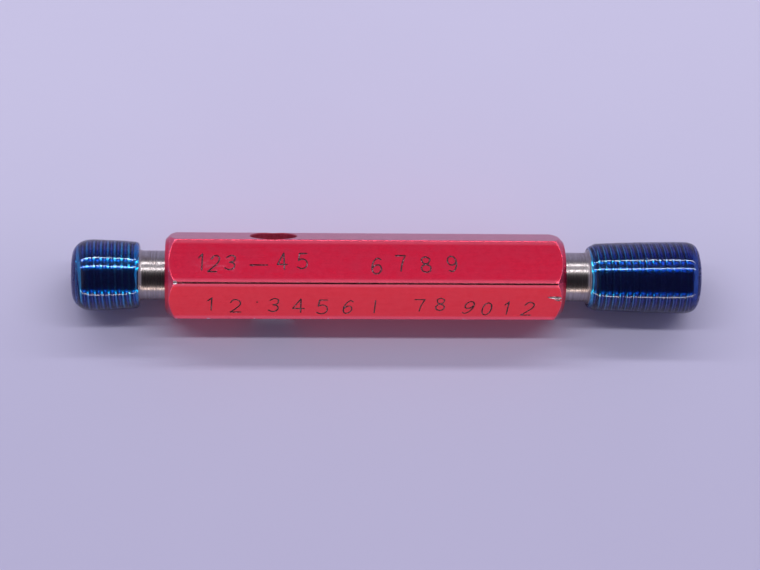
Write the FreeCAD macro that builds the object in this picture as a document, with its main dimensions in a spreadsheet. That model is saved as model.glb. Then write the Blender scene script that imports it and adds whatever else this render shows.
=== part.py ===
"""Double-ended taper-lock thread plug gauge, 18 threads to the inch.

Frame: millimetres, +X along the gauge towards its GO end, +Z up. The hexagonal handle lies on one
flat, so the origin is the middle of that flat and the gauge's axis runs at half the hexagon's
width across flats. Each thread is a right-handed groove swept along its helix through the blank, so
it runs out in the turned chamfers at both ends.
"""
import FreeCAD
import Part
import Sketcher
import os

SIZES = {
    # hexagonal handle
    "handle_length": 82.55,
    "hex_across_flats": 16.67,
    "hex_edge_radius": 0.25,
    "end_chamfer": 0.83,
    # drift hole near the NOT GO end, and the rod passage between the sockets
    "drift_hole_diameter": 9.525,
    "drift_hole_offset": 22.225,
    "drift_rim_break": 0.2,
    "rod_passage_diameter": 6.35,
    # taper seats: shank diameter lost per millimetre of length, 1/4 inch per foot
    "neck_diameter": 10.16,
    "shank_taper": 0.0208333,
    "socket_end_gap": 1.5875,
    "taper_clearance": 0.02,
    # members
    "neck_length": 5.3,
    "neck_flare": 0.3,
    "neck_flare_length": 0.8,
    "thread_pitch": 1.4111,
    "go_thread_length": 22.225,
    "go_pitch_diameter": 12.324,
    "go_crest_height": 0.458,
    "go_thread_run_in": 0.694,
    "not_go_thread_length": 12.7,
    "not_go_pitch_diameter": 12.456,
    "not_go_crest_height": 0.307,
    "not_go_thread_run_in": 0.414,
    "rear_chamfer_length": 1.5,
    "front_chamfer_length": 0.92,
    "chamfer_foot": 0.06,
    "centre_hole_diameter": 4.4,
    # dip coats over the gauging sections
    "coat_clearance": 0.02,
    "coat_rear_wall": 0.36,
    "coat_front_wall": 1.02,
    "coat_front_radius": 1.9,
    "go_coat_start": 0.15,
    "go_coat_lip": 0.33,
    "go_coat_shoulder": 1.9,
    "go_coat_end_wall": 1.69,
    "not_go_coat_start": 0.05,
    "not_go_coat_lip": 0.7,
    "not_go_coat_shoulder": 0.8,
    "not_go_coat_end_wall": 1.37,
}

# Expressions that several features share.
HALF_LENGTH = "Sizes.handle_length / 2"
HALF_FLATS = "Sizes.hex_across_flats / 2"
HALF_CORNERS = "Sizes.hex_across_flats / sqrt(3)"
SHANK_LENGTH = "(Sizes.drift_hole_offset - Sizes.drift_hole_diameter / 2)"
SHANK_END = f"({HALF_LENGTH} - {SHANK_LENGTH})"
NECK_RADIUS = "Sizes.neck_diameter / 2"
REAR_FACE = f"({HALF_LENGTH} + Sizes.neck_length)"
# A 60 degree thread with an eighth of its sharp height cut from crest and root.
ROOT_DEPTH = "Sizes.thread_pitch * sqrt(3) / 2 * 3 / 8"

HEX_STEP = 60.0         # degrees from one flat of the hexagon to the next
CUT_MARGIN = 1.0        # millimetres that a cutting profile reaches past the solid it cuts
CREST_MARGIN = 0.05     # the same, for the thread's groove past the crests


def make_sheet(doc):
    sheet = doc.addObject("Spreadsheet::Sheet", "Sizes")
    for row, (name, value) in enumerate(SIZES.items(), start=1):
        sheet.set(f"A{row}", name)
        sheet.set(f"B{row}", str(value))
        sheet.setAlias(f"B{row}", name)
    doc.recompute()
    return sheet


def make_body(doc, label):
    """A body whose own X axis is the gauge's axis, raised so that the handle lies on its flat."""
    body = doc.addObject("PartDesign::Body", label)
    body.Label = label
    body.setExpression("Placement.Base.z", HALF_FLATS)
    return body


def origin_feature(body, role):
    return next(item for item in body.Origin.OriginFeatures if item.Role == role)


def attach(sketch, body, role, turned=0.0):
    """Puts a sketch on one of its body's origin planes, turned by an angle in that plane."""
    sketch.AttachmentSupport = [(origin_feature(body, role), "")]
    sketch.MapMode = "FlatFace"
    turn = FreeCAD.Rotation(FreeCAD.Vector(0, 0, 1), turned)
    sketch.AttachmentOffset = FreeCAD.Placement(FreeCAD.Vector(0, 0, 0), turn)


def closed_profile(body, name, role, corners, turned=0.0):
    """A closed sketch of straight edges whose corners (along, across) are bound to the sheet."""
    sketch = body.newObject("Sketcher::SketchObject", name)
    attach(sketch, body, role, turned)
    points = [
        FreeCAD.Vector(float(body.evalExpression(along)), float(body.evalExpression(across)), 0)
        for along, across in corners
    ]
    count = len(points)
    for i in range(count):
        sketch.addGeometry(Part.LineSegment(points[i], points[(i + 1) % count]), False)
    for i in range(count):
        sketch.addConstraint(Sketcher.Constraint("Coincident", i, 2, (i + 1) % count, 1))
    for i, corner in enumerate(corners):
        for kind, expression, value, axis in (
            ("DistanceX", corner[0], points[i].x, -2),
            ("DistanceY", corner[1], points[i].y, -1),
        ):
            if expression == "0":
                sketch.addConstraint(Sketcher.Constraint("PointOnObject", i, 1, axis))
                continue
            index = sketch.addConstraint(Sketcher.Constraint(kind, -1, 1, i, 1, value))
            label = f"{'along' if kind == 'DistanceX' else 'across'}{i}"
            sketch.renameConstraint(index, label)
            sketch.setExpression(f"Constraints.{label}", expression)
    return sketch


def turned_feature(body, kind, name, sketch, axis=None):
    """A full revolution about the gauge's axis, or about another axis where one is given."""
    feature = body.newObject(kind, name)
    feature.Profile = sketch
    feature.ReferenceAxis = axis or (origin_feature(body, "X_Axis"), [""])
    feature.Angle = 360
    return feature


def edge_names(shape, test):
    return [f"Edge{i}" for i, edge in enumerate(shape.Edges, start=1) if test(edge)]


def is_ring(edge, along, radius):
    """True for a circle about the gauge's axis at that place along it."""
    curve = edge.Curve
    if not isinstance(curve, Part.Circle):
        return False
    near = FreeCAD.Vector(along, 0, 0)
    return curve.Center.isEqual(near, 1e-4) and abs(curve.Radius - radius) < 1e-4


def make_handle(doc):
    """Hexagonal bar, turned at both ends, with a taper socket in each end and a drift hole."""
    body = make_body(doc, "handle")

    corner = HALF_CORNERS
    flat = HALF_FLATS
    hexagon = closed_profile(body, "hexagon", "YZ_Plane", [
        (corner, "0"),
        (f"{corner} / 2", flat),
        (f"-{corner} / 2", flat),
        (f"-{corner}", "0"),
        (f"-{corner} / 2", f"-{flat}"),
        (f"{corner} / 2", f"-{flat}"),
    ])
    bar = body.newObject("PartDesign::Pad", "bar")
    bar.Profile = hexagon
    bar.SideType = "Symmetric"
    bar.setExpression("Length", "Sizes.handle_length")

    def runs_along(edge):
        return abs(abs(edge.tangentAt(edge.FirstParameter).x) - 1) < 1e-6

    doc.recompute()
    hex_edges = body.newObject("PartDesign::Fillet", "hex_edges")
    hex_edges.Base = (bar, edge_names(bar.Shape, runs_along))
    hex_edges.setExpression("Radius", "Sizes.hex_edge_radius")

    outside = f"({HALF_CORNERS} + {CUT_MARGIN})"
    face_radius = f"({HALF_FLATS} - Sizes.end_chamfer)"
    chamfer_profile = closed_profile(body, "end_chamfer_profile", "XY_Plane", [
        (HALF_LENGTH, face_radius),
        (HALF_LENGTH, outside),
        (f"{HALF_LENGTH} - ({outside} - {face_radius})", outside),
    ])
    end_cut = turned_feature(body, "PartDesign::Groove", "end_cut", chamfer_profile)

    mouth = f"({NECK_RADIUS} + Sizes.taper_clearance)"
    depth = f"({SHANK_LENGTH} + Sizes.socket_end_gap)"
    socket_profile = closed_profile(body, "socket_profile", "XY_Plane", [
        (HALF_LENGTH, "0"),
        (HALF_LENGTH, mouth),
        (f"{HALF_LENGTH} - {depth}", f"{mouth} - {depth} * Sizes.shank_taper / 2"),
        (f"{HALF_LENGTH} - {depth}", "0"),
    ])
    socket = turned_feature(body, "PartDesign::Groove", "socket", socket_profile)

    other_end = body.newObject("PartDesign::Mirrored", "other_end")
    other_end.Originals = [end_cut, socket]
    other_end.MirrorPlane = (origin_feature(body, "YZ_Plane"), [""])
    body.Tip = other_end

    passage_circle = body.newObject("Sketcher::SketchObject", "rod_passage_circle")
    attach(passage_circle, body, "YZ_Plane")
    passage_circle.addGeometry(Part.Circle(FreeCAD.Vector(0, 0, 0), FreeCAD.Vector(0, 0, 1), 3.0), False)
    passage_circle.addConstraint(Sketcher.Constraint("Coincident", 0, 3, -1, 1))
    passage_circle.addConstraint(Sketcher.Constraint("Diameter", 0, 6.0))
    passage_circle.renameConstraint(1, "diameter")
    passage_circle.setExpression("Constraints.diameter", "Sizes.rod_passage_diameter")
    passage = body.newObject("PartDesign::Pocket", "rod_passage")
    passage.Profile = passage_circle
    passage.SideType = "Symmetric"
    passage.Type = "ThroughAll"

    # The drift hole is square to the flat next to the top one, on the far side. Its half section
    # stands in the plane across the gauge, and is revolved about the hole's own axis.
    rim = "Sizes.drift_hole_diameter / 2"
    reach = f"({HALF_FLATS} + {CUT_MARGIN})"
    flare = f"(Sizes.drift_rim_break + {CUT_MARGIN})"
    drift_profile = closed_profile(body, "drift_hole_profile", "YZ_Plane", [
        ("0", f"-{reach}"),
        (f"{rim} + {flare}", f"-{reach}"),
        (rim, f"-({reach} - {flare})"),
        (rim, f"{reach} - {flare}"),
        (f"{rim} + {flare}", reach),
        ("0", reach),
    ], turned=-HEX_STEP)
    drift_profile.setExpression("AttachmentOffset.Base.z", f"Sizes.drift_hole_offset - {HALF_LENGTH}")
    turned_feature(body, "PartDesign::Groove", "drift_hole", drift_profile, (drift_profile, ["V_Axis"]))
    return body


def member_sizes(prefix):
    """Expressions of one gauging section: its front face, its crest radius and its root radius."""
    front_face = f"({REAR_FACE} + Sizes.{prefix}_thread_length)"
    pitch_radius = f"Sizes.{prefix}_pitch_diameter / 2"
    crest = f"({pitch_radius} + Sizes.{prefix}_crest_height)"
    root = f"({pitch_radius} - {ROOT_DEPTH})"
    return front_face, crest, root


def turn_to_not_go_end(body):
    """Both members and both coats are drawn on the +X side: the NOT GO ones are then turned about."""
    body.Placement = FreeCAD.Placement(
        FreeCAD.Vector(0, 0, 0), FreeCAD.Rotation(FreeCAD.Vector(0, 0, 1), 180)
    )
    body.setExpression("Placement.Base.z", HALF_FLATS)


def cut_thread(body, prefix):
    """Sweeps a 60 degree groove with a flat root from behind the section to past its front face."""
    front_face, crest, root = member_sizes(prefix)
    run_in = f"Sizes.{prefix}_thread_run_in"
    start = f"({REAR_FACE} - {run_in})"
    half_root = "Sizes.thread_pitch / 16"
    mouth = f"({crest} + {CREST_MARGIN})"
    half_mouth = f"({half_root} + ({mouth} - {root}) / sqrt(3))"
    groove = closed_profile(body, "thread_groove", "XY_Plane", [
        (f"{start} - {half_mouth}", mouth),
        (f"{start} - {half_root}", root),
        (f"{start} + {half_root}", root),
        (f"{start} + {half_mouth}", mouth),
    ])
    thread = body.newObject("PartDesign::SubtractiveHelix", "thread")
    thread.Profile = groove
    thread.ReferenceAxis = (origin_feature(body, "X_Axis"), [""])
    thread.Mode = "pitch-height-angle"
    thread.setExpression("Pitch", "Sizes.thread_pitch")
    thread.setExpression("Height", f"{run_in} + Sizes.{prefix}_thread_length + Sizes.thread_pitch")


def make_member(doc, prefix):
    """Hardened steel member turned in one piece: taper shank, neck and gauging section."""
    body = make_body(doc, f"{prefix}_member")
    front_face, crest, root = member_sizes(prefix)
    foot = f"({root} - Sizes.chamfer_foot)"
    centre = "Sizes.centre_hole_diameter / 2"
    centre_depth = f"{centre} * sqrt(3)"
    outline = closed_profile(body, "turned_profile", "XY_Plane", [
        (f"{SHANK_END} + {centre_depth}", "0"),
        (SHANK_END, centre),
        (SHANK_END, f"{NECK_RADIUS} - {SHANK_LENGTH} * Sizes.shank_taper / 2"),
        (HALF_LENGTH, NECK_RADIUS),
        (f"{REAR_FACE} - Sizes.neck_flare_length", NECK_RADIUS),
        (REAR_FACE, f"{NECK_RADIUS} + Sizes.neck_flare"),
        (REAR_FACE, foot),
        (f"{REAR_FACE} + Sizes.rear_chamfer_length", crest),
        (f"{front_face} - Sizes.front_chamfer_length", crest),
        (front_face, foot),
        (front_face, centre),
        (f"{front_face} - {centre_depth}", "0"),
    ])
    turned_feature(body, "PartDesign::Revolution", "turned", outline)
    cut_thread(body, prefix)
    return body


def make_dip_coat(doc, prefix):
    """Thick dipped coat: bears on the thread's crests, thickens to its rounded closed end."""
    body = make_body(doc, f"{prefix}_dip_coat")
    front_face, crest, root = member_sizes(prefix)
    gap = "Sizes.coat_clearance"
    start = f"({REAR_FACE} + Sizes.{prefix}_coat_start)"
    shoulder = f"({REAR_FACE} + Sizes.{prefix}_coat_shoulder)"
    end = f"({front_face} + Sizes.{prefix}_coat_end_wall)"
    chamfer_slope = f"({crest} - {root}) / Sizes.rear_chamfer_length"
    lip_inside = f"({root} + {gap} + {chamfer_slope} * Sizes.{prefix}_coat_start)"
    front_radius = f"({crest} + Sizes.coat_front_wall)"
    outline = closed_profile(body, "coat_profile", "XY_Plane", [
        (start, lip_inside),
        (start, f"{lip_inside} + Sizes.{prefix}_coat_lip"),
        (shoulder, f"{crest} + Sizes.coat_rear_wall"),
        (end, front_radius),
        (end, "0"),
        (f"{front_face} + {gap}", "0"),
        (f"{front_face} + {gap}", root),
        (f"{front_face} - Sizes.front_chamfer_length + {gap}", f"{crest} + {gap}"),
        (f"{REAR_FACE} + Sizes.rear_chamfer_length", f"{crest} + {gap}"),
    ])
    shell = turned_feature(body, "PartDesign::Revolution", "shell", outline)
    doc.recompute()
    closed_end = body.newObject("PartDesign::Fillet", "closed_end")
    place = float(body.evalExpression(end))
    ring = float(body.evalExpression(front_radius))
    closed_end.Base = (shell, edge_names(shell.Shape, lambda edge: is_ring(edge, place, ring)))
    closed_end.setExpression("Radius", "Sizes.coat_front_radius")
    return body


def check_document(doc, bodies):
    for item in doc.Objects:
        if "Invalid" in item.State or "Error" in item.State:
            raise RuntimeError(f"{item.Name} did not build: {item.State}")
    for body in bodies:
        shape = body.Shape
        if shape.isNull() or not shape.isValid() or len(shape.Solids) != 1:
            raise RuntimeError(f"{body.Label} is not one valid solid")


def main():
    doc = FreeCAD.newDocument("thread_plug_gauge")
    make_sheet(doc)
    bodies = [make_handle(doc)]
    for prefix in ("go", "not_go"):
        pair = [make_member(doc, prefix), make_dip_coat(doc, prefix)]
        if prefix == "not_go":
            for body in pair:
                turn_to_not_go_end(body)
        bodies += pair
    doc.recompute()
    check_document(doc, bodies)

    os.makedirs("parts", exist_ok=True)
    for body in bodies:
        body.Shape.exportStep(f"parts/{body.Label}.step")
        box = body.Shape.BoundBox
        print(
            f"{body.Label}: volume {body.Shape.Volume:.1f} mm3, faces {len(body.Shape.Faces)},"
            f" X {box.XMin:.3f} to {box.XMax:.3f}, Y {box.YMin:.3f} to {box.YMax:.3f},"
            f" Z {box.ZMin:.3f} to {box.ZMax:.3f}"
        )


main()
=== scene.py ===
"""Looks of the double-ended thread plug gauge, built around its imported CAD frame.

The red anodised handle, both threaded steel members and both blue dip coats are built here as
meshes at the CAD sizes. Lengths named below are in millimetres, and one factor turns them into
metres. Both ends are drawn on the +X side; the NOT GO end is then turned half a turn about Z.
"""
import math

import bmesh
import bpy
import numpy as np
from mathutils import Matrix, Vector

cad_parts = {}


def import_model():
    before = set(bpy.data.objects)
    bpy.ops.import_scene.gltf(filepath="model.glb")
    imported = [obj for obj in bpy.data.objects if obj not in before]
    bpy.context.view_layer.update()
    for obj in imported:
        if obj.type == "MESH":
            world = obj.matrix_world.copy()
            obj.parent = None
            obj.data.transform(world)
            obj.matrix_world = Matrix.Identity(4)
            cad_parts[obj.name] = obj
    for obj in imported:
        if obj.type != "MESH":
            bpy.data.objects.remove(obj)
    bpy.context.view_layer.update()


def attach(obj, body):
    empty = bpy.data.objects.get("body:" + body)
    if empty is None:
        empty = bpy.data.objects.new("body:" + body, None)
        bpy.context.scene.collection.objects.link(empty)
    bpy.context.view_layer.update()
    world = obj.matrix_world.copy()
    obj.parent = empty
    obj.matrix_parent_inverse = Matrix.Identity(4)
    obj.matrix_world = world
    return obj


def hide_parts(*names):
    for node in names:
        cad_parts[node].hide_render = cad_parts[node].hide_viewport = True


MM = 0.001
TAU = 2 * math.pi

# ---------------------------------------------------------------- the CAD's sizes, in millimetres
AXIS_HEIGHT = 8.335
HANDLE_HALF = 41.275
HALF_FLATS = 8.335
HEX_EDGE_RADIUS = 0.4
END_FACE_RADIUS = 7.505
NECK_RADIUS = 5.08
SHANK_END = 23.8125
SHANK_END_RADIUS = 4.898
SOCKET_MOUTH_RADIUS = 5.1
SOCKET_END = 22.225
SOCKET_END_RADIUS = 4.902
TAPER_MIDDLE = 32.0      # an extra ring halfway along the taper, on the shank and in the socket
TAPER_MIDDLE_RADIUS = 4.98
SOCKET_MIDDLE_RADIUS = 5.003
PASSAGE_RADIUS = 3.175
DRIFT_X = -19.05
DRIFT_RADIUS = 4.7625
DRIFT_ELEVATION = 150.0
DRIFT_RIM_BREAK = 0.2
REAR_FACE = 46.575
PITCH = 1.4111
REAR_CHAMFER = 1.5
FRONT_CHAMFER = 0.92
CHAMFER_FOOT = 0.06
CENTRE_HOLE_RADIUS = 2.2
NECK_FLARE = 0.3
NECK_FLARE_LENGTH = 0.8
MEMBERS = {
    "go": {"front": 68.8, "pitch_radius": 6.162, "crest": 6.62, "top_crest": 48.35, "turn": 0.0},
    "not_go": {"front": 59.275, "pitch_radius": 6.228, "crest": 6.535, "top_crest": 48.63,
               "turn": math.pi},
}
SHARP_HEIGHT = PITCH * math.sqrt(3) / 2
FLANK = math.tan(math.radians(30))
EMBED = 0.02             # how far a coat's inner wall lies inside the steel

THREAD_COLUMNS = 128
HANDLE_FLAT_STEPS = 16
HANDLE_EDGE_STEPS = 5
HANDLE_BODY_STEPS = 13
HANDLE_BODY_END = 38.675


# ---------------------------------------------------------------- mesh making
def new_object(name, mesh):
    item = bpy.data.objects.new(name, mesh)
    bpy.context.scene.collection.objects.link(item)
    return item


def mesh_from_faces(name, points, faces):
    """A mesh from millimetre points, with the points that fall together merged."""
    mesh = bpy.data.meshes.new(name)
    mesh.from_pydata((np.asarray(points) * MM).tolist(), [], faces)
    work = bmesh.new()
    work.from_mesh(mesh)
    bmesh.ops.remove_doubles(work, verts=work.verts, dist=2e-7)
    bmesh.ops.dissolve_degenerate(work, edges=work.edges, dist=1e-7)
    bmesh.ops.recalc_face_normals(work, faces=work.faces)
    work.to_mesh(mesh)
    work.free()
    return mesh


def strip_faces(rows, columns, offset=0, shift=0):
    """Quads between the rows of a round grid. The last column joins the first, shift rows on."""
    faces = []
    for i in range(rows - 1):
        for j in range(columns):
            ahead, turn = (j + 1, 0) if j + 1 < columns else (0, shift)
            if i + 1 + turn >= rows:
                continue
            low = offset + i * columns
            high = low + columns
            faces.append((low + j, low + turn * columns + ahead,
                          high + turn * columns + ahead, high + j))
    return faces


def angles():
    return np.arange(THREAD_COLUMNS) * TAU / THREAD_COLUMNS


def ring_points(x, radius):
    """Grid of points for arrays (rows, columns) or (rows, 1) of x and radius, about the gauge's axis."""
    turn = angles()[None, :]
    x = np.asarray(x, float) + 0 * turn
    radius = np.asarray(radius, float) + 0 * turn
    y = radius * np.cos(turn)
    z = radius * np.sin(turn) + AXIS_HEIGHT
    return np.stack([x, y, z], axis=-1)


def smooth_curve(points, steps):
    """Points along a Catmull-Rom curve through given points."""
    p = np.asarray(points, float)
    p = np.vstack([2 * p[0] - p[1], p, 2 * p[-1] - p[-2]])
    t = np.linspace(0, 1, steps, endpoint=False)[:, None]
    pieces = []
    for a, b, c, d in zip(p, p[1:], p[2:], p[3:]):
        pieces.append(0.5 * (2 * b + (c - a) * t + (2 * a - 5 * b + 4 * c - d) * t ** 2
                             + (3 * b - 3 * c + d - a) * t ** 3))
    return np.vstack(pieces + [p[-2:-1]])


def sharpen_cut_rims(mesh):
    """Marks the edges where one material meets another as sharp."""
    owners = {}
    for polygon in mesh.polygons:
        for key in polygon.edge_keys:
            owners.setdefault(key, set()).add(polygon.material_index)
    for edge in mesh.edges:
        if len(owners[edge.key]) > 1:
            edge.use_edge_sharp = True


def shade(item, degrees=35, weighted=False):
    """Smooth shading with the edges sharper than this left crisp."""
    mesh = item.data
    mesh.polygons.foreach_set("use_smooth", [True] * len(mesh.polygons))
    mesh.set_sharp_from_angle(angle=math.radians(degrees))
    if weighted:
        sharpen_cut_rims(mesh)
        modifier = item.modifiers.new("flat_normals", "WEIGHTED_NORMAL")
        modifier.keep_sharp = True


def turned_about(item, angle):
    if angle:
        item.data.transform(Matrix.Rotation(angle, 4, "Z"))


# ---------------------------------------------------------------- the steel members
def root_radius(size):
    return size["pitch_radius"] - SHARP_HEIGHT * 3 / 8


def thread_form(size):
    """(offset from the crest's middle, radius) over one pitch of the 60 degree form."""
    root = root_radius(size)
    crest_half = PITCH / 4 - (size["crest"] - size["pitch_radius"]) * FLANK
    root_half = PITCH / 16
    foot = PITCH / 2 - root_half
    flank = [(foot + (crest_half - foot) * k / 4, root + (size["crest"] - root) * k / 4)
             for k in (0, 1, 2, 3, 4)]
    rising = [(-offset, radius) for offset, radius in flank]
    return [(-PITCH / 2, root)] + rising + flank[::-1]


def chamfer_radius(size, x):
    """Radius of the blank at x, which the thread runs out in."""
    foot = root_radius(size) - CHAMFER_FOOT
    rear = foot + (x - REAR_FACE) * (size["crest"] - foot) / REAR_CHAMFER
    front = foot + (size["front"] - x) * (size["crest"] - foot) / FRONT_CHAMFER
    return np.minimum(np.minimum(rear, front), size["crest"])


def thread_grid(size, start, end, inset=0.0):
    """Helical grid of the thread between two places along the axis. inset moves it into the steel."""
    form = thread_form(size)
    low = int(np.floor((np.min(start) - size["top_crest"]) / PITCH)) - 2
    high = int(np.ceil((end - size["top_crest"]) / PITCH)) + 2
    rows = [(size["top_crest"] + k * PITCH + offset, radius)
            for k in range(low, high) for offset, radius in form]
    rows = np.array(rows)
    lead = PITCH * (angles() / TAU - 0.25)
    x = np.clip(rows[:, :1] + lead[None, :], start, end)
    phase = (x - lead[None, :] - size["top_crest"]) % PITCH
    offsets = np.array([offset % PITCH for offset, _ in form] + [PITCH])
    heights = np.array([radius for _, radius in form] + [size["crest"]])
    order = np.argsort(offsets)
    threaded = np.interp(phase, offsets[order], heights[order])
    radius = np.minimum(threaded, chamfer_radius(size, x)) - inset
    return ring_points(x, radius), len(form)


def joined_grids(name, grids):
    """One mesh from several round grids whose end rings fall on each other."""
    points = []
    faces = []
    for grid, shift in grids:
        rows, columns, _ = grid.shape
        faces += strip_faces(rows, columns, offset=sum(len(p) for p in points), shift=shift)
        points.append(grid.reshape(-1, 3))
    return mesh_from_faces(name, np.vstack(points), faces)


def member_mesh(name, size):
    foot = root_radius(size) - CHAMFER_FOOT
    cone = CENTRE_HOLE_RADIUS * math.sqrt(3)
    rear = np.array([
        (SHANK_END + cone, 0), (SHANK_END + 0.3, CENTRE_HOLE_RADIUS - 0.17),
        (SHANK_END, CENTRE_HOLE_RADIUS), (SHANK_END, SHANK_END_RADIUS - 0.1),
        (SHANK_END + 0.1, SHANK_END_RADIUS), (TAPER_MIDDLE, TAPER_MIDDLE_RADIUS),
        (HANDLE_HALF, NECK_RADIUS), (REAR_FACE - NECK_FLARE_LENGTH, NECK_RADIUS),
        (REAR_FACE - 0.55, NECK_RADIUS + 0.04), (REAR_FACE - 0.25, NECK_RADIUS + 0.14),
        (REAR_FACE - 0.06, NECK_RADIUS + 0.26), (REAR_FACE, NECK_RADIUS + NECK_FLARE),
        (REAR_FACE, foot)])
    front = np.array([
        (size["front"], foot), (size["front"], CENTRE_HOLE_RADIUS),
        (size["front"] - cone / 2, CENTRE_HOLE_RADIUS / 2), (size["front"] - cone, 0)])
    thread, shift = thread_grid(size, REAR_FACE, size["front"])
    return joined_grids(name, [
        (ring_points(rear[:, :1], rear[:, 1:]), 0), (thread, shift),
        (ring_points(front[:, :1], front[:, 1:]), 0)])


# ---------------------------------------------------------------- the dip coats
COAT_LINES = {
    # (x, radius) from the edge on the steel, round the lip and along to the closed end
    "go": [(46.74, 5.93), (46.68, 6.06), (46.74, 6.24), (46.95, 6.42), (47.25, 6.57),
           (47.6, 6.71), (48.0, 6.87), (48.35, 6.97), (48.8, 7.02), (50.0, 7.08), (52.0, 7.17),
           (54.0, 7.26), (56.0, 7.34), (58.0, 7.41), (60.0, 7.46), (62.0, 7.5), (64.0, 7.54),
           (65.6, 7.56), (66.9, 7.55), (67.8, 7.48), (68.6, 7.26), (69.2, 6.9), (69.6, 6.4),
           (69.86, 5.7), (69.98, 4.8), (70.03, 3.3), (70.05, 1.5), (70.05, 0.0)],
    "not_go": [(46.66, 5.96), (46.6, 6.16), (46.62, 6.38), (46.76, 6.6), (47.05, 6.79),
               (47.4, 6.88), (47.9, 6.92), (48.4, 6.96), (49.2, 7.03), (50.2, 7.1),
               (51.4, 7.17), (52.8, 7.24), (54.2, 7.3), (55.4, 7.35), (56.4, 7.36),
               (57.3, 7.28), (58.1, 7.08), (58.9, 6.7), (59.6, 6.12), (60.1, 5.4),
               (60.42, 4.5), (60.57, 3.2), (60.62, 1.6), (60.635, 0.0)],
}
RIPPLE = 0.006
RIPPLE_LUMPS = 9
SAG = 0.05               # how much thicker a coat hangs below than above
CURVE_STEPS = 6
LIP_OVERLAP = 0.12       # how far inside its back edge a coat lets go of the steel


def fade(value, low, high):
    t = np.clip((value - low) / (high - low), 0, 1)
    return t * t * (3 - 2 * t)


def ripple(size, x, turn):
    """Faint ribs of the coat over the thread, with lumps so that a highlight breaks into dashes."""
    phase = TAU * (x - size["top_crest"] - PITCH * (turn / TAU - 0.25)) / PITCH
    zone = fade(x, 48.6, 50.5) * (1 - fade(x, size["front"] - 1.5, size["front"]))
    lumps = np.sin(RIPPLE_LUMPS * turn + 0.35 * x)
    return RIPPLE * zone * np.cos(phase) * (1 + 0.8 * lumps)


def go_shape(x, radius, turn):
    """The long coat's uneven back edge, and the slow swell of its wall."""
    back = 1 - fade(x, 46.9, 48.6)
    edge = 0.05 * np.sin(turn + 0.6) + 0.035 * np.sin(3 * turn + 1.0) + 0.02 * np.sin(7 * turn)
    x = x + back * (0.05 + edge)
    swell = 0.03 * np.sin(2 * turn + 0.16 * x) + 0.02 * np.sin(3 * turn - 0.23 * x)
    return x, radius + swell * (1 - back) * fade(71.0 - x, 0.0, 3.0)


def not_go_shape(x, radius, turn):
    """The short coat's uneven back edge, the wrinkle beside it and the swell of its wall."""
    back = 1 - fade(x, 46.8, 48.2)
    edge = 0.04 * np.sin(2 * turn + 0.4) + 0.03 * np.sin(5 * turn + 2.0)
    x = x + back * (0.06 + edge)
    ring = np.exp(-((x - 48.2 - 0.25 * np.sin(2 * turn)) / 0.33) ** 2)
    swell = 0.03 * np.sin(2 * turn + 1.1) + 0.02 * np.sin(3 * turn + 0.5 * x)
    radius = radius - 0.05 * ring * (1 + np.sin(4 * turn))
    return x, radius + swell * (1 - back) * fade(61.0 - x, 0.0, 3.0)


SHAPES = {"go": go_shape, "not_go": not_go_shape}


def coat_outside(prefix, size):
    """Outer surface of a coat: arrays of x and radius, from its back edge to its closed end."""
    line = smooth_curve(COAT_LINES[prefix], CURVE_STEPS)
    turn = angles()[None, :]
    x = line[:, :1] + 0 * turn
    radius = line[:, 1:] + 0 * turn
    off_axis = np.minimum(radius / 5.0, 1.0)
    radius = radius + ripple(size, x, turn) * off_axis
    radius = radius - SAG * np.sin(turn) * off_axis * fade(x, 47.5, 52.0)
    x, shaped = SHAPES[prefix](x, radius, turn)
    radius = np.where(radius > 0.01, shaped, radius)
    return x, radius


def coat_object(prefix, size):
    name = f"{prefix}_dip_coat_gel"
    x, radius = coat_outside(prefix, size)
    outer = ring_points(x, radius)
    inner, shift = thread_grid(size, x[:1] + LIP_OVERLAP, size["front"] - EMBED, inset=EMBED)
    lip = np.stack([inner[0], outer[0]])
    closing = np.stack([inner[-1], inner[-1] * 0 + (size["front"] - EMBED, 0, AXIS_HEIGHT)])
    mesh = joined_grids(name, [(lip, 0), (outer, 0), (inner, shift), (closing, 0)])
    item = new_object(name, mesh)
    turned_about(item, size["turn"])
    shade(item, 50)
    return item


# ---------------------------------------------------------------- the handle
def hex_outline():
    """Points round the hexagon, with its edges rounded: arrays of (y, z from the axis)."""
    corner_half = math.radians(30)
    tangent = HEX_EDGE_RADIUS * math.tan(corner_half)
    half_side = HALF_FLATS * math.tan(corner_half)
    reach = half_side - tangent
    points = []
    for k in range(6):
        direction = math.radians(90 + 60 * k)
        normal = np.array([math.cos(direction), math.sin(direction)])
        along = np.array([-normal[1], normal[0]])
        for s in np.linspace(-reach, reach, HANDLE_FLAT_STEPS + 1):
            points.append(normal * HALF_FLATS + along * s)
        centre = normal * (HALF_FLATS - HEX_EDGE_RADIUS) + along * reach
        for step in range(1, HANDLE_EDGE_STEPS):
            turn = direction + math.radians(60) * step / HANDLE_EDGE_STEPS
            points.append(centre + HEX_EDGE_RADIUS * np.array([math.cos(turn), math.sin(turn)]))
    return np.array(points)


ARC_ROUNDING = 0.09      # rounding where an end's cone meets the flats and the end face


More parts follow.
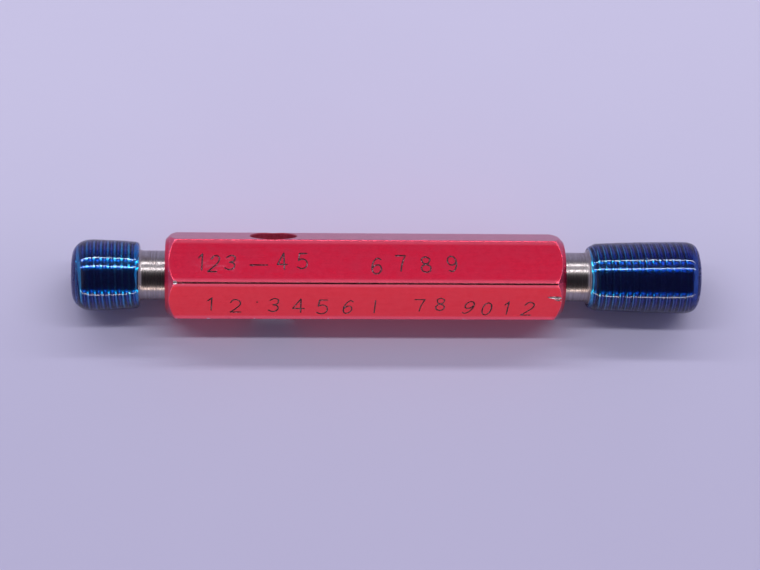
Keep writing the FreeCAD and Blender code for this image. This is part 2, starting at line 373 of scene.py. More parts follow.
def handle_profile(rho):
    """(x, radius) of half the handle at one angle, from its middle round to the passage."""
    slope = 1 / math.sqrt(2)
    b = ARC_ROUNDING
    arc = HANDLE_HALF - (rho - END_FACE_RADIUS)
    body = [(x, rho) for x in np.linspace(0, HANDLE_BODY_END, HANDLE_BODY_STEPS)]
    corner = [(arc - b, rho), (arc - 0.1 * b, rho - 0.17 * b), (arc + b * slope, rho - b * slope)]
    face = HANDLE_HALF
    rim = END_FACE_RADIUS
    edge = [(face - b * slope, rim + b * slope), (face - 0.17 * b, rim + 0.1 * b), (face, rim - b)]
    mouth = [(face, SOCKET_MOUTH_RADIUS + 0.12), (face - 0.1, SOCKET_MOUTH_RADIUS)]
    socket = [(TAPER_MIDDLE, SOCKET_MIDDLE_RADIUS), (SOCKET_END, SOCKET_END_RADIUS)]
    return body + corner + edge + mouth + socket + [(SOCKET_END, PASSAGE_RADIUS), (0, PASSAGE_RADIUS)]


def handle_mesh(name):
    outline = hex_outline()
    rho = np.hypot(outline[:, 0], outline[:, 1])
    facing = outline / rho[:, None]
    half = np.array([handle_profile(r) for r in rho])            # columns, rows, (x, radius)
    other = half[:, ::-1][:, 1:-1] * np.array([-1, 1])
    loop = np.concatenate([half, other], axis=1).transpose(1, 0, 2)
    rows, columns, _ = loop.shape
    yz = facing[None] * loop[:, :, 1:]
    points = np.concatenate([loop[:, :, :1], yz], axis=-1).reshape(-1, 3)
    points[:, 2] += AXIS_HEIGHT
    faces = []
    for i in range(rows):
        for j in range(columns):
            a, b = i * columns, (i + 1) % rows * columns
            faces.append((a + j, a + (j + 1) % columns, b + (j + 1) % columns, b + j))
    return mesh_from_faces(name, points, faces)


def face_axes(elevation):
    """Normal and upward direction of the handle's flat whose normal stands at this elevation."""
    e = math.radians(elevation)
    return np.array([0, -math.cos(e), math.sin(e)]), np.array([0, math.sin(e), math.cos(e)])


def on_face(elevation, x, v, height=0.0):
    """Point in millimetres on a flat: x along the gauge, v up the flat from its middle."""
    normal, up = face_axes(elevation)
    return np.array([x, 0, AXIS_HEIGHT]) + normal * (HALF_FLATS + height) + up * v


def drift_cutter():
    """The drift hole's cutter: a rod across the handle whose ends flare to break the rims."""
    reach = HALF_FLATS + 1.0
    flare = DRIFT_RIM_BREAK + 1.0
    soft = 0.06
    half = [(reach, DRIFT_RADIUS + flare), (reach - flare + soft, DRIFT_RADIUS + soft * 0.7),
            (reach - flare - soft, DRIFT_RADIUS)]
    profile = [(reach, 0)] + half + [(-h, r) for h, r in half[::-1]] + [(-reach, 0)]
    normal, up = face_axes(DRIFT_ELEVATION)
    turn = angles()[None, :, None]
    along = np.array([1.0, 0, 0])
    rows = np.array(profile)
    grid = (np.array([DRIFT_X, 0, AXIS_HEIGHT]) + rows[:, 0][:, None, None] * normal
            + rows[:, 1][:, None, None] * (np.cos(turn) * along + np.sin(turn) * up))
    faces = strip_faces(len(profile), THREAD_COLUMNS)
    return new_object("drift_cutter", mesh_from_faces("drift_cutter", grid.reshape(-1, 3), faces))


# Plain stamped digits: strokes through points in a box one unit high and one unit wide.
DIGITS = {
    "0": [[(0.5, 1.0), (0.14, 0.84), (0.02, 0.5), (0.14, 0.16), (0.5, 0.0), (0.86, 0.16),
           (0.98, 0.5), (0.86, 0.84), (0.5, 1.0)]],
    "1": [[(0.12, 0.76), (0.6, 1.0)], [(0.6, 1.0), (0.6, 0.0)]],
    "2": [[(0.06, 0.78), (0.24, 0.96), (0.56, 1.0), (0.9, 0.84), (0.86, 0.56), (0.5, 0.28),
           (0.04, 0.0)], [(0.04, 0.0), (0.96, 0.0)]],
    "3": [[(0.08, 0.86), (0.44, 1.0), (0.86, 0.9), (0.84, 0.62), (0.42, 0.53)],
          [(0.42, 0.53), (0.88, 0.42), (0.92, 0.14), (0.5, 0.0), (0.04, 0.12)]],
    "4": [[(0.72, 0.0), (0.72, 1.0)], [(0.72, 1.0), (0.04, 0.3)], [(0.04, 0.3), (1.0, 0.3)]],
    "5": [[(0.88, 1.0), (0.2, 1.0)], [(0.2, 1.0), (0.14, 0.56)],
          [(0.14, 0.56), (0.5, 0.64), (0.9, 0.48), (0.88, 0.14), (0.46, 0.0), (0.06, 0.1)]],
    "6": [[(0.84, 0.92), (0.5, 1.0), (0.16, 0.74), (0.06, 0.34), (0.3, 0.03), (0.72, 0.04),
           (0.94, 0.3), (0.74, 0.55), (0.36, 0.55), (0.1, 0.36)]],
    "7": [[(0.04, 1.0), (0.96, 1.0)], [(0.96, 1.0), (0.6, 0.48), (0.42, 0.0)]],
    "8": [[(0.5, 1.0), (0.16, 0.86), (0.26, 0.6), (0.5, 0.52), (0.86, 0.36), (0.84, 0.1),
           (0.5, 0.0), (0.16, 0.1), (0.14, 0.36), (0.5, 0.52), (0.76, 0.62), (0.84, 0.86),
           (0.5, 1.0)]],
    "9": [[(0.14, 0.06), (0.48, 0.0), (0.84, 0.26), (0.94, 0.66), (0.7, 0.97), (0.28, 0.96),
           (0.06, 0.7), (0.26, 0.45), (0.64, 0.45), (0.9, 0.64)]],
    "dash": [[(0.0, 0.5), (1.0, 0.5)], [(0.0, 0.5), (0.14, 0.44)]],
    "bar": [[(0.5, 1.0), (0.5, 0.0)]],
    "dot": [[(0.46, 0.5), (0.54, 0.5)]],
}
# digit, x and v of its middle, width, height, lean in degrees, depth of its strokes in millimetres
TOP_STAMPS = [
    ("1", -33.8, -0.25, 1.5, 3.5, 2, 0.13), ("2", -31.2, -0.6, 1.9, 3.5, 14, 0.11),
    ("3", -27.9, -0.35, 2.1, 3.1, 8, 0.08), ("dash", -22.1, -0.85, 3.5, 3.0, 0, 0.13),
    ("4", -17.4, 0.0, 2.0, 3.5, -2, 0.12), ("5", -13.2, 0.05, 2.2, 3.3, 2, 0.09),
    ("6", 2.0, -0.95, 2.2, 3.4, 3, 0.1), ("7", 7.0, -0.35, 2.1, 3.4, -4, 0.13),
    ("8", 12.1, -0.55, 2.4, 3.4, -3, 0.12), ("9", 17.5, -0.4, 2.1, 3.3, -6, 0.09),
]
FRONT_STAMPS = [
    ("1", -31.9, -0.8, 1.6, 3.3, 3, 0.13), ("2", -26.8, -1.25, 2.3, 3.3, 0, 0.12),
    ("dot", -22.4, -0.2, 2.0, 2.0, 0, 0.09), ("3", -19.0, -1.0, 2.1, 3.5, 6, 0.11),
    ("4", -14.0, -1.15, 2.5, 3.6, 0, 0.11), ("5", -9.0, -1.45, 2.4, 3.7, 4, 0.1),
    ("6", -3.7, -1.45, 2.0, 3.4, 12, 0.08), ("bar", 1.8, -1.3, 1.0, 3.2, 3, 0.06),
    ("7", 11.1, -0.95, 2.2, 3.1, -3, 0.07), ("8", 15.3, -0.6, 2.2, 3.3, 2, 0.09),
    ("9", 21.2, -1.45, 2.1, 3.1, 18, 0.12), ("0", 25.0, -1.8, 1.9, 3.3, 10, 0.1),
    ("1", 29.2, -1.55, 1.4, 3.3, 6, 0.08), ("2", 33.6, -1.75, 2.2, 3.4, 14, 0.1),
]
STROKE_SIDES = 10
STROKE_WIDTH = 0.3


def stroke_tube(centres, radii, elevation, points, faces):
    """Adds a closed tube along centres (x, v, height above the flat) to the cutter."""
    normal, up = face_axes(elevation)
    along = np.array([1.0, 0, 0])
    base = len(points)
    path = np.array([on_face(elevation, *c) for c in centres])
    tangent = np.gradient(path, axis=0)
    tangent /= np.linalg.norm(tangent, axis=1)[:, None]
    side = np.cross(tangent, normal)
    side /= np.linalg.norm(side, axis=1)[:, None]
    lift = np.cross(side, tangent)
    for p, r, s, n in zip(path, radii, side, lift):
        for k in range(STROKE_SIDES):
            turn = TAU * (k + 0.5) / STROKE_SIDES
            points.append(p + r * (math.cos(turn) * s + math.sin(turn) * n))
    rings = len(path)
    for i in range(rings - 1):
        for k in range(STROKE_SIDES):
            m = (k + 1) % STROKE_SIDES
            a, b = base + i * STROKE_SIDES, base + (i + 1) * STROKE_SIDES
            faces.append((a + k, a + m, b + m, b + k))
    faces.append(tuple(base + k for k in range(STROKE_SIDES))[::-1])
    faces.append(tuple(base + (rings - 1) * STROKE_SIDES + k for k in range(STROKE_SIDES)))


def stroke_path(stroke, width, height, lean):
    """Stroke points in millimetres about the digit's middle, with rounded ends."""
    line = np.array(stroke, float)
    line = smooth_curve(line, 4) if len(line) > 2 else line
    slant = math.tan(math.radians(lean))
    local = np.stack([(line[:, 0] - 0.5) * width, (line[:, 1] - 0.5) * height], axis=1)
    local[:, 0] += local[:, 1] * slant
    return local


def stamp_cutter(stamps, elevation, seed):
    """One cutter for a row of stamped digits, each struck a little unevenly."""
    rng = np.random.default_rng(seed)
    points = []
    faces = []
    for digit, x, v, width, height, lean, depth in stamps:
        tip = rng.uniform(-0.3, 0.3, 2)
        for stroke in DIGITS[digit]:
            local = stroke_path(stroke, width, height, lean)
            uneven = 1 + local @ (tip / np.array([width, height]))
            deep = depth * np.clip(uneven, 0.4, 1.5)
            half = STROKE_WIDTH / 2 * np.clip(0.6 + 0.4 * uneven, 0.5, 1.3)
            radii = (half ** 2 + deep ** 2) / (2 * deep)
            centres = [(x + p[0], v + p[1], r - d) for p, r, d in zip(local, radii, deep)]
            centres, radii = with_round_ends(centres, radii)
            stroke_tube(centres, radii, elevation, points, faces)
    return new_object("stamp_cutter", mesh_from_faces("stamp_cutter", points, faces))


def with_round_ends(centres, radii):
    """Extra small rings at both ends of a stroke, so that it ends rounded."""
    c = np.array(centres)
    r = np.array(radii)
    first = c[0] - c[1]
    last = c[-1] - c[-2]
    first /= np.linalg.norm(first)
    last /= np.linalg.norm(last)
    head = [c[0] + first * r[0] * 0.75, c[0] + first * r[0] * 0.45]
    tail = [c[-1] + last * r[-1] * 0.45, c[-1] + last * r[-1] * 0.75]
    c = np.vstack([head, c, tail])
    r = np.concatenate([[r[0] * 0.66, r[0] * 0.89], r, [r[-1] * 0.89, r[-1] * 0.66]])
    return c.tolist(), r


def blob_cutter(name, centre, axes, seed):
    """A rough ellipsoid that bites a nick or gouge out of the handle. axes: three vectors in mm."""
    work = bmesh.new()
    bmesh.ops.create_icosphere(work, subdivisions=3, radius=1.0)
    rng = np.random.default_rng(seed)
    waves = rng.normal(0, 2.2, (5, 3))
    phases = rng.uniform(0, TAU, 5)
    frame_axes = np.array(axes, float)
    for vert in work.verts:
        p = np.array(vert.co)
        rough = 1 + 0.06 * sum(math.sin(w @ p + f) for w, f in zip(waves, phases))
        vert.co = Vector((np.array(centre) + rough * (p @ frame_axes)) * MM)
    mesh = bpy.data.meshes.new(name)
    work.to_mesh(mesh)
    work.free()
    return new_object(name, mesh)


def dent_cutters():
    """The gouge near the GO end of the front flat, and the nick at the left end of the ridge."""
    normal, up = face_axes(30)
    along = np.array([1.0, 0, 0])
    long_way = 1.55 * (along - 0.1 * up)
    gouge = blob_cutter("gouge_cutter", on_face(30, 39.0, 1.25, 0.22),
                        [long_way, 0.42 * (up + 0.2 * along), 0.42 * normal], 5)
    streak = blob_cutter("streak_cutter", on_face(30, 39.7, 0.55, 0.2),
                         [0.95 * (along - 0.25 * up), 0.2 * up, 0.3 * normal], 8)
    ridge_normal, ridge_up = face_axes(60)
    centre = np.array([-39.2, 0, AXIS_HEIGHT]) + ridge_normal * 9.55
    nick = blob_cutter("nick_cutter", centre, [0.55 * along, 0.42 * ridge_up, 0.3 * ridge_normal], 3)
    return [gouge, streak, nick]


def boolean(item, other, operation, use_self):
    """Applies a boolean for good: the item's mesh becomes the result."""
    modifier = item.modifiers.new("boolean", "BOOLEAN")
    modifier.operation = operation
    modifier.solver = "EXACT"
    modifier.use_self = use_self
    modifier.material_mode = "TRANSFER"
    modifier.object = other
    graph = bpy.context.evaluated_depsgraph_get()
    result = bpy.data.meshes.new_from_object(item.evaluated_get(graph))
    item.modifiers.clear()
    old = item.data
    item.data = result
    bpy.data.meshes.remove(old)
    bpy.data.objects.remove(other)


def cut(item, cutter, material):
    """Cuts the cutter out of the item, and gives the cut faces the cutter's material."""
    cutter.data.materials.clear()
    cutter.data.materials.append(material)
    boolean(item, cutter, "DIFFERENCE", False)


def merge_strokes(cutter):
    """Makes overlapping strokes one clean solid, by a union with a speck that lies far inside."""
    speck = blob_cutter("speck", (0, 0, AXIS_HEIGHT), np.eye(3) * 0.1, 1)
    boolean(cutter, speck, "UNION", True)
    return cutter


# ---------------------------------------------------------------- materials
class Graph:
    """A material's node tree, with short calls for its nodes and links."""

    def __init__(self, tree):
        self.tree = tree
        self.tree.nodes.clear()

    def add(self, kind, _settings=None, **inputs):
        node = self.tree.nodes.new(kind)
        for name, value in (_settings or {}).items():
            setattr(node, name, value)
        for name, value in inputs.items():
            self.put(node.inputs[name.replace("_", " ")], value)
        return node

    def put(self, socket, value):
        if isinstance(value, bpy.types.NodeSocket):
            self.tree.links.new(value, socket)
        else:
            socket.default_value = value

    def math(self, operation, a, b=0.0, clamp=False):
        node = self.add("ShaderNodeMath", {"operation": operation, "use_clamp": clamp})
        self.put(node.inputs[0], a)
        self.put(node.inputs[1], b)
        return node.outputs[0]

    def mix(self, factor, a, b):
        node = self.add("ShaderNodeMix", {"data_type": "RGBA"})
        self.put(node.inputs["Factor"], factor)
        self.put(node.inputs[6], a)
        self.put(node.inputs[7], b)
        return node.outputs[2]

    def ramp(self, value, low, high, from_value=0.0, to_value=1.0):
        node = self.add("ShaderNodeMapRange", {"interpolation_type": "SMOOTHSTEP"})
        self.put(node.inputs["Value"], value)
        self.put(node.inputs["From Min"], low)
        self.put(node.inputs["From Max"], high)
        self.put(node.inputs["To Min"], from_value)
        self.put(node.inputs["To Max"], to_value)
        return node.outputs[0]

    def scaled(self, vector, x, y, z, shift=(0, 0, 0)):
        node = self.add("ShaderNodeMapping")
        self.put(node.inputs["Vector"], vector)
        node.inputs["Scale"].default_value = (x, y, z)
        node.inputs["Location"].default_value = shift
        return node.outputs[0]

    def noise(self, vector, scale, detail=4.0, roughness=0.6):
        node = self.add("ShaderNodeTexNoise")
        self.put(node.inputs["Vector"], vector)
        node.inputs["Scale"].default_value = scale
        node.inputs["Detail"].default_value = detail
        node.inputs["Roughness"].default_value = roughness
        return node.outputs[0]

    def bump(self, height, distance, strength):
        node = self.add("ShaderNodeBump")
        self.put(node.inputs["Height"], height)
        node.inputs["Distance"].default_value = distance
        node.inputs["Strength"].default_value = strength
        return node.outputs[0]


def new_material(name):
    material = bpy.data.materials.new(name)
    material.use_nodes = True
    return material, Graph(material.node_tree)


def finish_surface(graph, shader):
    output = graph.add("ShaderNodeOutputMaterial")
    graph.put(output.inputs["Surface"], shader)
    return output


def object_place(graph):
    """Object coordinates, x, y and z in millimetres from the axis, and the distance from it."""
    place = graph.add("ShaderNodeTexCoord").outputs["Object"]
    split = graph.add("ShaderNodeSeparateXYZ")
    graph.put(split.inputs[0], graph.scaled(place, 1000, 1000, 1000, (0, 0, -AXIS_HEIGHT)))
    x, y, z = split.outputs
    across = graph.math("SQRT", graph.math("ADD", graph.math("MULTIPLY", y, y),
                                           graph.math("MULTIPLY", z, z)))
    return place, x, y, z, across


def spot(graph, x, v, centre, reach, edge=0.5):
    """1 inside an ellipse about centre, falling to 0 outside, for two coordinates in millimetres."""
    dx = graph.math("DIVIDE", graph.math("SUBTRACT", x, centre[0]), reach[0])
    dv = graph.math("DIVIDE", graph.math("SUBTRACT", v, centre[1]), reach[1])
    far = graph.math("SQRT", graph.math("ADD", graph.math("MULTIPLY", dx, dx),
                                        graph.math("MULTIPLY", dv, dv)))
    return graph.ramp(far, 1.0, edge)


RED_DEEP = (0.69, 0.010, 0.046, 1)
RED_BRIGHT = (0.86, 0.028, 0.082, 1)
# The front flat's red is painted paler and more orange: painted light.
RED_FRONT_PAINTED_LIGHT = (0.80, 0.056, 0.062, 1)
RED_EDGE = (0.68, 0.60, 0.70, 1)
# Pink for the scuffs, and for the painted highlights along the edges and the end arcs.
PINK_SCUFF_AND_HIGHLIGHT = (0.95, 0.17, 0.27, 1)
# A painted dark reflection along the ridge.
RIDGE_PAINTED_DARK_REFLECTION = (0.055, 0.004, 0.010, 1)
BARE_ALLOY = (0.78, 0.66, 0.70, 1)
# Ranges over which a mark comes in, in millimetres: from the axis, along y or up z.
EDGE_BAND = (9.42, 9.54)
NEAR_EDGE_HIGHLIGHT_BAND = (9.08, 9.36)
RIDGE_BAND = (9.46, 9.52)
RIDGE_HEIGHT = (6.6, 7.6)
RIDGE_SIDE = (-3.0, -4.2)
FRONT_SIDE = (-4.2, -4.9)
TOP_FLAT = (8.2, 8.3)
ARC_OUTSIDE = (0.16, 0.05)
ARC_INSIDE = (-0.03, 0.0)
ARC_REACH = (8.2, 8.3)
SCUFF_PLACE = (-30.5, -0.8)
SCUFF_SIZE = (7.0, 3.2)


def product(g, first, *others):
    for other in others:
        first = g.math("MULTIPLY", first, other)
    return first


def red_tone(g, place):
    """Fine unevenness of the anodised surface: mottling, grain and lines drawn along the bar."""
    mottle = g.noise(place, 700, 6, 0.65)
    grain = g.noise(place, 5200, 3, 0.7)
    drawn = g.noise(g.scaled(place, 90, 2600, 2600), 1.0, 3, 0.6)
    tone = g.math("ADD", g.math("MULTIPLY", mottle, 0.5), g.math("MULTIPLY", grain, 0.3))
    return g.math("ADD", tone, g.math("MULTIPLY", drawn, 0.2))


def end_arcs(g, x, across):
    """The arcs where an end's cone cuts the flats."""
    gap = g.math("SUBTRACT", g.math("SUBTRACT", END_FACE_RADIUS + HANDLE_HALF,
                                    g.math("ABSOLUTE", x)), across)
    return product(g, g.ramp(gap, *ARC_OUTSIDE), g.ramp(gap, *ARC_INSIDE),
                   g.ramp(across, *ARC_REACH))


def anodised_red():
    """Red anodising, with painted light: the front flat painted paler and more orange, painted
    highlights along the edges and the end arcs, and a painted dark reflection on the ridge; it also has
    pink scuffs and specks rubbed bare.
    """
    material, g = new_material("anodised_red")
    place, x, y, z, across = object_place(g)
    tone = red_tone(g, place)
    arc = end_arcs(g, x, across)
    colour = g.mix(g.ramp(tone, 0.38, 0.62), RED_DEEP, RED_BRIGHT)
    # Painted light: the front flat turns paler and more orange.
    facing = product(g, g.ramp(y, *FRONT_SIDE), g.ramp(tone, 0.3, 0.7, 0.45, 0.75))
    colour = g.mix(facing, colour, RED_FRONT_PAINTED_LIGHT)
    # Painted highlight: a pink band just inside every edge.
    colour = g.mix(product(g, g.ramp(across, *NEAR_EDGE_HIGHLIGHT_BAND), 0.45), colour, PINK_SCUFF_AND_HIGHLIGHT)
    left = spot(g, x, y, SCUFF_PLACE, SCUFF_SIZE, 0.2)
    scuffs = g.noise(g.scaled(place, 1, 1.6, 1.6), 900, 6, 0.8)
    scuffed = product(g, left, g.ramp(z, *TOP_FLAT), g.ramp(scuffs, 0.52, 0.62), 0.75)
    colour = g.mix(scuffed, colour, PINK_SCUFF_AND_HIGHLIGHT)
    # Painted highlight: a pink line along the end arcs.
    colour = g.mix(product(g, arc, 0.35), colour, PINK_SCUFF_AND_HIGHLIGHT)
    # Painted reflection: a dark line along the ridge between the top and front flats.
    ridge = product(g, g.ramp(across, *RIDGE_BAND), g.ramp(z, *RIDGE_HEIGHT),
                    g.ramp(y, *RIDGE_SIDE))
    colour = g.mix(product(g, ridge, 0.85), colour, RIDGE_PAINTED_DARK_REFLECTION)
    specks = g.noise(place, 1500, 4, 0.75)
    rubbed = product(g, g.math("MAXIMUM", g.ramp(across, *EDGE_BAND), arc),
                     g.ramp(specks, 0.60, 0.68),
                     g.math("SUBTRACT", 1.0, product(g, ridge, 0.8)))
    colour = g.mix(rubbed, colour, BARE_ALLOY)
    shader = g.add("ShaderNodeBsdfPrincipled", Metallic=1.0, IOR=1.6, Coat_Weight=0.5,
                   Coat_Roughness=0.16, Coat_IOR=1.45, Specular_Tint=RED_EDGE)
    g.put(shader.inputs["Base Color"], colour)
    g.put(shader.inputs["Roughness"], g.ramp(tone, 0.3, 0.7, 0.26, 0.20))
    g.put(shader.inputs["Normal"], g.bump(tone, 0.00002, 0.5))
    finish_surface(g, shader.outputs[0])
    return material


# The drift hole's reds are darker than the handle's: painted shade inside the hole.
BORE_COLOURS_PAINTED_SHADE = ((0.27, 0.010, 0.032, 1), (0.38, 0.026, 0.07, 1))
OXIDE = (0.035, 0.022, 0.030, 1)
FLECK = (0.42, 0.36, 0.42, 1)
TORN_COLOURS = ((0.10, 0.07, 0.09, 1), (0.62, 0.56, 0.60, 1))


def anodised_bore_painted_shade():
    """The drift hole's wall: a darker red, painted shade inside the hole, over a rougher drilled
    surface.
    """
    material, g = new_material("anodised_bore_painted_shade")
    place = g.add("ShaderNodeTexCoord").outputs["Object"]
    rings = g.noise(place, 2400, 3, 0.6)
    colour = g.mix(g.ramp(rings, 0.35, 0.65), *BORE_COLOURS_PAINTED_SHADE)
    shader = g.add("ShaderNodeBsdfPrincipled", Metallic=0.35, Roughness=0.48)
    g.put(shader.inputs["Base Color"], colour)
    g.put(shader.inputs["Normal"], g.bump(rings, 0.00002, 0.5))
    finish_surface(g, shader.outputs[0])
    return material


def stamp_grey():
    """Floor of the stamped strokes: dark oxide with a few bright torn flecks."""
    material, g = new_material("stamp_grey")
    place = g.add("ShaderNodeTexCoord").outputs["Object"]
    fleck = g.ramp(g.noise(place, 4200, 4, 0.7), 0.55, 0.66)
    colour = g.mix(fleck, OXIDE, FLECK)
    shader = g.add("ShaderNodeBsdfPrincipled", Metallic=0.6, Roughness=0.42)
    g.put(shader.inputs["Base Color"], colour)
    g.put(shader.inputs["Normal"], g.bump(g.noise(place, 5200, 3), 0.00003, 0.6))
    finish_surface(g, shader.outputs[0])
    return material


def bare_alloy():
    """Torn bare metal in the gouge and the nick."""
    material, g = new_material("bare_alloy")
    place = g.add("ShaderNodeTexCoord").outputs["Object"]
    torn = g.noise(g.scaled(place, 500, 2600, 2600), 1.0, 5, 0.7)
    colour = g.mix(g.ramp(torn, 0.42, 0.58), *TORN_COLOURS)
    shader = g.add("ShaderNodeBsdfPrincipled", Metallic=0.9, Roughness=0.35)
    g.put(shader.inputs["Base Color"], colour)
    g.put(shader.inputs["Normal"], g.bump(torn, 0.00006, 0.8))
    finish_surface(g, shader.outputs[0])
    return material


STEEL_COLOURS = ((0.25, 0.225, 0.23, 1), (0.40, 0.37, 0.37, 1))
STAIN = (0.24, 0.18, 0.16, 1)
PIT = (0.07, 0.05, 0.05, 1)
# The thread under a coat is painted brighter than the bare steel: painted light.
LAPPED_STEEL_PAINTED_LIGHT = (0.66, 0.66, 0.68, 1)     # the thread under a coat
LAPPED_RADIUS = (5.42, 5.5)
LAPPED_START = (REAR_FACE + 0.25, REAR_FACE + 0.45)


def turned_steel():
    """Turned and stained steel, smoother under the coats and painted brighter there as painted light."""
    material, g = new_material("turned_steel")
    place, x, _, _, across = object_place(g)
    rings = g.noise(g.scaled(place, 5200, 40, 40), 1.0, 4, 0.7)
    stain = g.ramp(g.noise(place, 420, 5, 0.65), 0.52, 0.68)
    dots = g.ramp(g.noise(place, 1900, 3, 0.6), 0.66, 0.72)
    colour = g.mix(g.ramp(rings, 0.3, 0.7), *STEEL_COLOURS)
    colour = g.mix(product(g, stain, 0.45), colour, STAIN)
    colour = g.mix(product(g, dots, 0.7), colour, PIT)
    # Painted light: the thread under the coats gets a brighter steel colour; it is also made smoother.
    coated_and_painted_light = product(g, g.ramp(across, *LAPPED_RADIUS),
                     g.ramp(g.math("ABSOLUTE", x), *LAPPED_START))
    colour = g.mix(coated_and_painted_light, colour, LAPPED_STEEL_PAINTED_LIGHT)
    roughness = g.math("SUBTRACT", g.ramp(rings, 0.25, 0.75, 0.30, 0.22),
                       product(g, coated_and_painted_light, 0.115))
    shader = g.add("ShaderNodeBsdfPrincipled", Metallic=1.0)
    g.put(shader.inputs["Base Color"], colour)
    g.put(shader.inputs["Roughness"], roughness)
    g.put(shader.inputs["Normal"], g.bump(rings, 0.000004, 0.5))
    finish_surface(g, shader.outputs[0])
    return material


GEL_ABSORPTION = (0.0, 0.82, 0.95, 1)
GEL_HAZE = (0.060, 0.075, 0.42, 1)
HAZE_SHARE = (0.045, 0.26)     # over the steel, and in the solid gel beyond it
GEL_DENSITY = 4600.0
GO_TIP = (68.0, 69.6)          # where the solid gel beyond the steel begins, along x
NOT_GO_TIP = (-58.4, -59.9)
GEL_IOR = 1.47


def gel_haze(g, x, clear_gel):
    """The clear gel with a little scattering in it, more where there is no steel behind."""
    haze = g.add("ShaderNodeBsdfDiffuse", Color=GEL_HAZE)
    cloudy = g.add("ShaderNodeMixShader")
    g.put(cloudy.inputs[0], g.math("ADD", g.ramp(x, *GO_TIP, HAZE_SHARE[0], HAZE_SHARE[1]),
                                   g.ramp(x, *NOT_GO_TIP, 0.0, HAZE_SHARE[1] - HAZE_SHARE[0])))
    g.put(cloudy.inputs[1], clear_gel)
    g.put(cloudy.inputs[2], haze.outputs[0])
    return cloudy.outputs[0]


def diffuse_rays(g):
    """1 for a ray left by a diffuse bounce, and 0 for every other kind."""
    path = g.add("ShaderNodeLightPath")
    other = path.outputs["Is Camera Ray"]
    for kind in ("Transmission", "Glossy", "Shadow"):
        other = g.math("ADD", other, path.outputs[f"Is {kind} Ray"], True)
    return g.math("SUBTRACT", 1.0, other)


def dip_gel():
    """Clear blue dip gel. It refracts, and only diffuse rays pass straight through it."""
    material, g = new_material("dip_gel")
    place, x, *_ = object_place(g)
    shader = g.add("ShaderNodeBsdfPrincipled", Roughness=0.035, IOR=GEL_IOR,
                   Transmission_Weight=1.0, Specular_IOR_Level=0.4, Base_Color=(1, 1, 1, 1))
    g.put(shader.inputs["Normal"], g.bump(g.noise(place, 260, 2, 0.5), 0.00001, 0.5))
    blend = g.add("ShaderNodeMixShader")
    g.put(blend.inputs[0], diffuse_rays(g))
    g.put(blend.inputs[1], gel_haze(g, x, shader.outputs[0]))
    g.put(blend.inputs[2], g.add("ShaderNodeBsdfTransparent").outputs[0])
    output = finish_surface(g, blend.outputs[0])
    body = g.add("ShaderNodeVolumeAbsorption", Color=GEL_ABSORPTION, Density=GEL_DENSITY)
    g.put(output.inputs["Volume"], body.outputs[0])
    return material


# The floor's colour towards the front is darker: painted shade.
FLOOR_NEAR_PAINTED_SHADE = (0.535, 0.515, 0.705, 1)
FLOOR_FAR = (0.640, 0.620, 0.812, 1)


def pale_floor():
    """Plain pale floor, painted a little darker in front of the gauge and towards the front: painted
    shade.
    """
    material, g = new_material("pale_floor")
    place = g.add("ShaderNodeTexCoord").outputs["Object"]
    cloud = g.noise(place, 9, 3, 0.5)
    split = g.add("ShaderNodeSeparateXYZ")
    g.put(split.inputs[0], place)
    # Painted shade: darker just in front of the gauge and towards the front.
    away = g.math("ADD", g.ramp(split.outputs[1], -0.012, 0.022, 0.0, 0.45),
                  g.ramp(split.outputs[1], -0.075, 0.085, 0.0, 0.55))
    away = g.math("ADD", away, g.ramp(cloud, 0.3, 0.7, -0.06, 0.06))
    colour = g.mix(away, FLOOR_NEAR_PAINTED_SHADE, FLOOR_FAR)
    shader = g.add("ShaderNodeBsdfPrincipled", Roughness=0.7, Specular_IOR_Level=0.2)
    g.put(shader.inputs["Base Color"], colour)
    g.put(shader.inputs["Normal"], g.bump(g.noise(place, 22, 3), 0.0012, 0.25))
    finish_surface(g, shader.outputs[0])
    return material


# ---------------------------------------------------------------- stage, camera and light
FLOOR_HALF = 6.0


def make_floor(material):
    mesh = bpy.data.meshes.new("floor")
    side = FLOOR_HALF
    mesh.from_pydata([(-side, -side, 0), (side, -side, 0), (side, side, 0), (-side, side, 0)],
                     [], [(0, 1, 2, 3)])
    mesh.materials.append(material)
    floor = new_object("floor", mesh)


CAMERA_AZIMUTH = -10.6522
CAMERA_ELEVATION = 69.2294
CAMERA_ROLL = 10.2267
CAMERA_TARGET = (3.1574, -1.9833, 8.335)
CAMERA_DISTANCE = 450.0
CAMERA_LENS = 102.4


def make_camera():
    a, e, r = (math.radians(v) for v in (CAMERA_AZIMUTH, CAMERA_ELEVATION, CAMERA_ROLL))
    back = Vector((math.sin(a) * math.cos(e), -math.cos(a) * math.cos(e), math.sin(e)))
    level = Vector((math.cos(a), math.sin(a), 0))
    upright = back.cross(level)
    right = math.cos(r) * level + math.sin(r) * upright
    up = math.cos(r) * upright - math.sin(r) * level
    camera = bpy.data.cameras.new("camera")
    camera.lens = CAMERA_LENS
    camera.clip_start = 0.01
    camera.clip_end = 50.0
    item = new_object("camera", camera)
    turn = Matrix((right, up, back)).transposed().to_4x4()
    place = (Vector(CAMERA_TARGET) + back * CAMERA_DISTANCE) * MM
    item.matrix_world = Matrix.Translation(place) @ turn
    bpy.context.scene.camera = item


STRIP_DISTANCE = 1.5
STRIP_LENGTH = 3.0
COOL_LIGHT = (1.0, 0.985, 0.99)
WARM_LIGHT = (1.0, 0.82, 0.68)
STRIPS = [
    # name, elevation in degrees from the front horizon, width in metres, radiance, colour
    ("strip_near", 98, 0.085, 15.0, COOL_LIGHT),
    ("strip_back", 127, 0.085, 15.0, COOL_LIGHT),
    ("strip_front", 2, 0.10, 8.5, WARM_LIGHT),
]


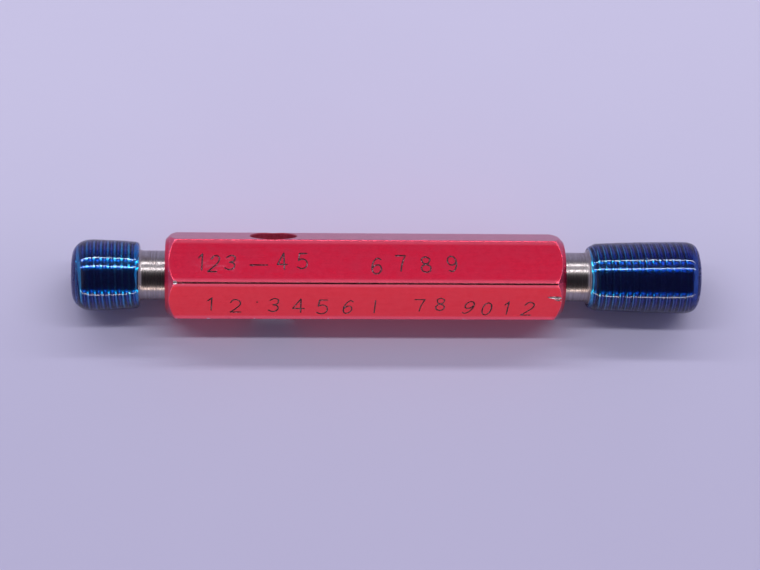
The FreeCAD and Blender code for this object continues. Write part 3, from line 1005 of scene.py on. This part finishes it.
def add_strip(name, elevation, width, radiance, colour):
    """A long lamp parallel to the gauge."""
    e = math.radians(elevation)
    lamp = bpy.data.lights.new(name, "AREA")
    lamp.shape = "RECTANGLE"
    lamp.size = STRIP_LENGTH
    lamp.size_y = width
    lamp.energy = radiance * math.pi * STRIP_LENGTH * width
    lamp.color = colour
    item = new_object(name, lamp)
    toward = Vector((0, -math.cos(e), math.sin(e)))
    along = Vector((1, 0, 0))
    turn = Matrix((along, toward.cross(along), toward)).transposed().to_4x4()
    centre = toward * STRIP_DISTANCE + Vector((0, 0, AXIS_HEIGHT * MM))
    item.matrix_world = Matrix.Translation(centre) @ turn
    item.visible_camera = False


def make_lights():
    for strip in STRIPS:
        add_strip(*strip)


FRONT_UPPER = (0.020, 0.018, 0.026, 1)
BACK_UPPER = (0.205, 0.195, 0.275, 1)
BACKDROP = (0.54, 0.52, 0.76, 1)
BESIDE = (0.50, 0.48, 0.64, 1)
FRONT_LOW = (0.24, 0.225, 0.32, 1)


def make_world():
    """Pale backdrop behind and beside, dark above the front, dimmer low in front."""
    world = bpy.data.worlds.new("studio")
    world.use_nodes = True
    g = Graph(world.node_tree)
    split = g.add("ShaderNodeSeparateXYZ")
    g.put(split.inputs[0], g.add("ShaderNodeTexCoord").outputs["Generated"])
    x, y, z = split.outputs
    behind = g.ramp(y, -0.05, 0.30)
    upper = g.mix(behind, FRONT_UPPER, BACK_UPPER)
    upper = g.mix(g.math("MULTIPLY", behind, g.ramp(z, 0.55, 0.25)), upper, BACKDROP)
    beside = g.math("MULTIPLY", g.ramp(g.math("ABSOLUTE", x), 0.35, 0.75), g.ramp(z, -0.05, 0.1))
    upper = g.mix(beside, upper, BESIDE)
    low = g.ramp(z, 0.26, 0.10)
    edge = g.mix(g.ramp(y, -0.1, 0.2), FRONT_LOW, BACKDROP)
    colour = g.mix(low, upper, edge)
    background = g.add("ShaderNodeBackground", Strength=1.0)
    g.put(background.inputs["Color"], colour)
    output = g.add("ShaderNodeOutputWorld")
    g.put(output.inputs["Surface"], background.outputs[0])
    bpy.context.scene.world = world


# ---------------------------------------------------------------- the pieces
def make_handle(materials):
    item = new_object("handle_anodised_bar", handle_mesh("handle_anodised_bar"))
    item.data.materials.append(materials["red"])
    cut(item, merge_strokes(stamp_cutter(TOP_STAMPS, 90, 11)), materials["stamp"])
    cut(item, merge_strokes(stamp_cutter(FRONT_STAMPS, 30, 12)), materials["stamp"])
    for cutter in dent_cutters():
        cut(item, cutter, materials["bare"])
    cut(item, drift_cutter(), materials["bore_painted_shade"])
    shade(item, 32, weighted=True)
    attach(item, "root")
    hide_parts("handle")


def make_member(prefix, materials):
    size = MEMBERS[prefix]
    name = f"{prefix}_member_threaded"
    item = new_object(name, member_mesh(name, size))
    turned_about(item, size["turn"])
    item.data.materials.append(materials["steel"])
    shade(item, 25)
    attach(item, "root")
    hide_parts(f"{prefix}_member")


def make_coat(prefix, materials):
    item = coat_object(prefix, MEMBERS[prefix])
    item.data.materials.append(materials["gel"])
    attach(item, "root")
    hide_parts(f"{prefix}_dip_coat")


def main():
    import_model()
    materials = {"red": anodised_red(), "stamp": stamp_grey(), "bare": bare_alloy(),
                 "bore_painted_shade": anodised_bore_painted_shade(), "steel": turned_steel(), "gel": dip_gel()}
    make_handle(materials)
    for prefix in MEMBERS:
        make_member(prefix, materials)
        make_coat(prefix, materials)
    make_floor(pale_floor())
    make_lights()
    make_world()
    make_camera()
    bpy.context.scene.view_settings.view_transform = "Standard"


main()
